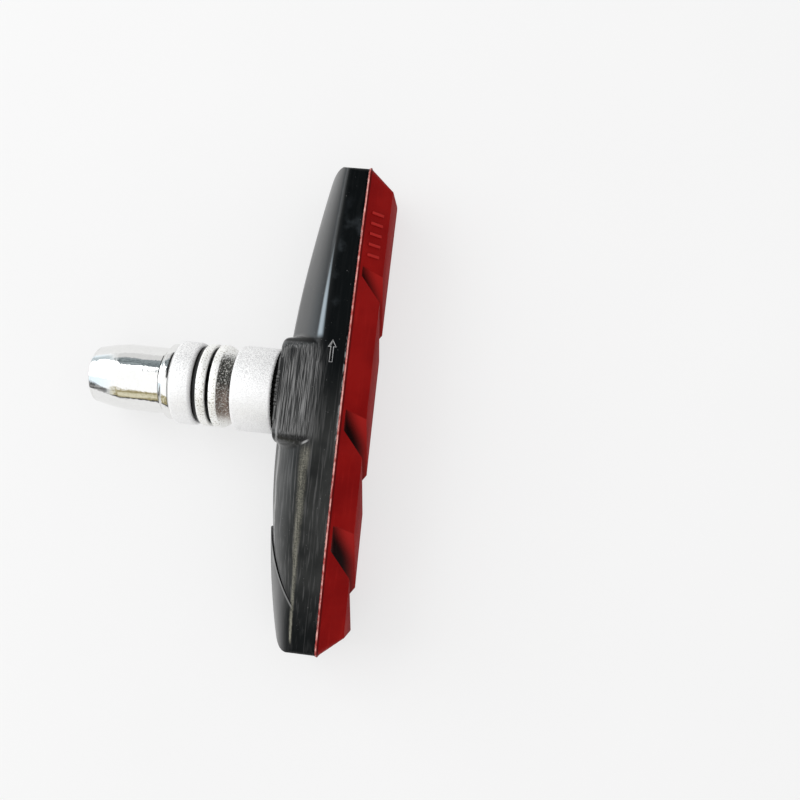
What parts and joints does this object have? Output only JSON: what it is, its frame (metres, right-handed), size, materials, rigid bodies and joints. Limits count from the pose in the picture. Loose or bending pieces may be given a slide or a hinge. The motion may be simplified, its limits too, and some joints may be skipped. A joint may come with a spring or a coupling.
{
  "type": "bicycle rim brake shoe",
  "caption": "Bicycle rim brake shoe: arc-shaped friction block with diagonal slots on a moulded carrier, with a threaded stud, domed and cupped washers and a cap nut to clamp it to a brake arm.",
  "frame": {"origin": "on the stud axis, in the flat face of the inner domed washer that the brake arm is clamped against", "axes": "+X along the stud towards the rim, square to the friction face; +Y to the front end of the shoe; +Z away from the wheel axle"},
  "size_m": [0.0417, 0.0702, 0.0155],
  "materials": {
    "compound": "red moulded friction compound, satin",
    "carrier": "black moulded, soft sheen",
    "bare_steel": "zinc plated",
    "frosted_steel": "grit blasted and bright plated",
    "polished_steel": "polished plate",
    "plated_nut": "bright plate"
  },
  "bodies": {
    "shoe": {"pad_body": "carrier", "friction_block": "compound", "backing_plate": "bare_steel", "stud": "bare_steel", "thick_cup": "frosted_steel", "inner_dome": "polished_steel"},
    "clamp_stack": {"outer_dome": "polished_steel", "thin_cup": "frosted_steel", "flat_washer": "polished_steel"},
    "nut": {"cap_nut": "plated_nut"}
  },
  "joints": [
    {"name": "clamp_travel", "type": "slide", "parent": "shoe", "child": "clamp_stack", "axis": [-1, 0, 0], "range_m": [0, 0.005]},
    {"name": "nut_turn", "type": "hinge", "parent": "clamp_stack", "child": "nut", "pos_m": [0, 0, 0], "axis": [-1, 0, 0], "range_deg": [0, 1800]}
  ],
  "couplings": [
    {"joint": "nut_turn", "follows": "clamp_travel", "rad_per_m": 6283.2}
  ]
}
